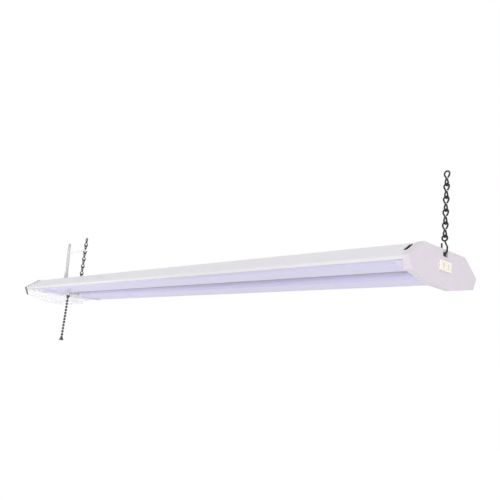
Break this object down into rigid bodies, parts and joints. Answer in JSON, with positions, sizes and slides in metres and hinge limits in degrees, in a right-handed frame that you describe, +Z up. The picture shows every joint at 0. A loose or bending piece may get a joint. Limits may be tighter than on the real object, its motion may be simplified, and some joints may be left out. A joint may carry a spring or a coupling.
{
  "type": "hanging shop light",
  "caption": "Hanging shop light: long folded white housing over frosted lenses, end caps, an end socket, a pull chain switch, a mains lead and hanging chains.",
  "frame": {"origin": "midway between the two hanging points, which are the inner tops of the chains' top loops", "axes": "+X to the right end, where the socket is; -Y to the front; +Z up"},
  "size_m": [1.2463, 0.19, 0.2824],
  "materials": {
    "white_paint": "satin",
    "tray_paint": "satin",
    "cap_white": "satin",
    "lens_opal": "frosted",
    "lens_end": "satin",
    "board_white": "matt",
    "diode": "gloss",
    "driver_case": "satin",
    "zinc": "satin",
    "wire_cover": "matt",
    "switch_black": "matt",
    "stem_metal": "satin",
    "bead_dark": "satin",
    "chain_dark": "satin",
    "socket_cream": "satin",
    "contact_brass": "polished",
    "lead_grey": "matt",
    "relief_white": "matt",
    "tie_white": "satin"
  },
  "bodies": {
    "hangers": {"left_top_link": "chain_dark", "right_top_link": "chain_dark"},
    "light": {"housing": "white_paint", "left_end_cap": "cap_white", "right_end_cap": "cap_white", "cap_screws": "zinc", "tray": "tray_paint", "front_lens": "lens_opal", "rear_lens": "lens_opal", "front_lens_ends": "lens_end", "rear_lens_ends": "lens_end", "front_light_board": "board_white", "rear_light_board": "board_white", "front_diodes": "diode", "rear_diodes": "diode", "driver": "driver_case", "driver_feet": "driver_case", "supply_wires": "wire_cover", "wiring_cover": "white_paint", "cover_screws": "zinc", "pull_switch": "switch_black", "switch_nut": "zinc", "socket": "socket_cream", "socket_contacts": "contact_brass", "hook_plate": "zinc", "left_hook": "chain_dark", "right_hook": "chain_dark", "left_chain": "chain_dark", "right_chain": "chain_dark", "strain_relief": "relief_white", "relief_nut": "relief_white", "lead_rise": "lead_grey", "lead_hank": "lead_grey", "lead_tail": "lead_grey", "plug": "relief_white", "plug_blades": "contact_brass", "hank_tie": "tie_white", "lead_tie": "tie_white"},
    "pull_stem": {"pull_stem": "stem_metal"},
    "pull_beads": {"bead_chain": "bead_dark", "pull_bell": "bead_dark"}
  },
  "joints": [
    {"name": "light_swing", "type": "hinge", "parent": "hangers", "child": "light", "pos_m": [0, 0, -0.0186], "axis": [1, 0, 0], "range_deg": [-30, 30]},
    {"name": "pull_travel", "type": "slide", "parent": "light", "child": "pull_stem", "axis": [0, 0, -1], "range_m": [0, 0.008], "stiffness_N_per_m": 400, "springref_m": -0.01},
    {"name": "pull_swing", "type": "hinge", "parent": "pull_stem", "child": "pull_beads", "pos_m": [-0.601, 0, -0.1651], "axis": [1, 0, 0], "range_deg": [-60, 60]}
  ]
}
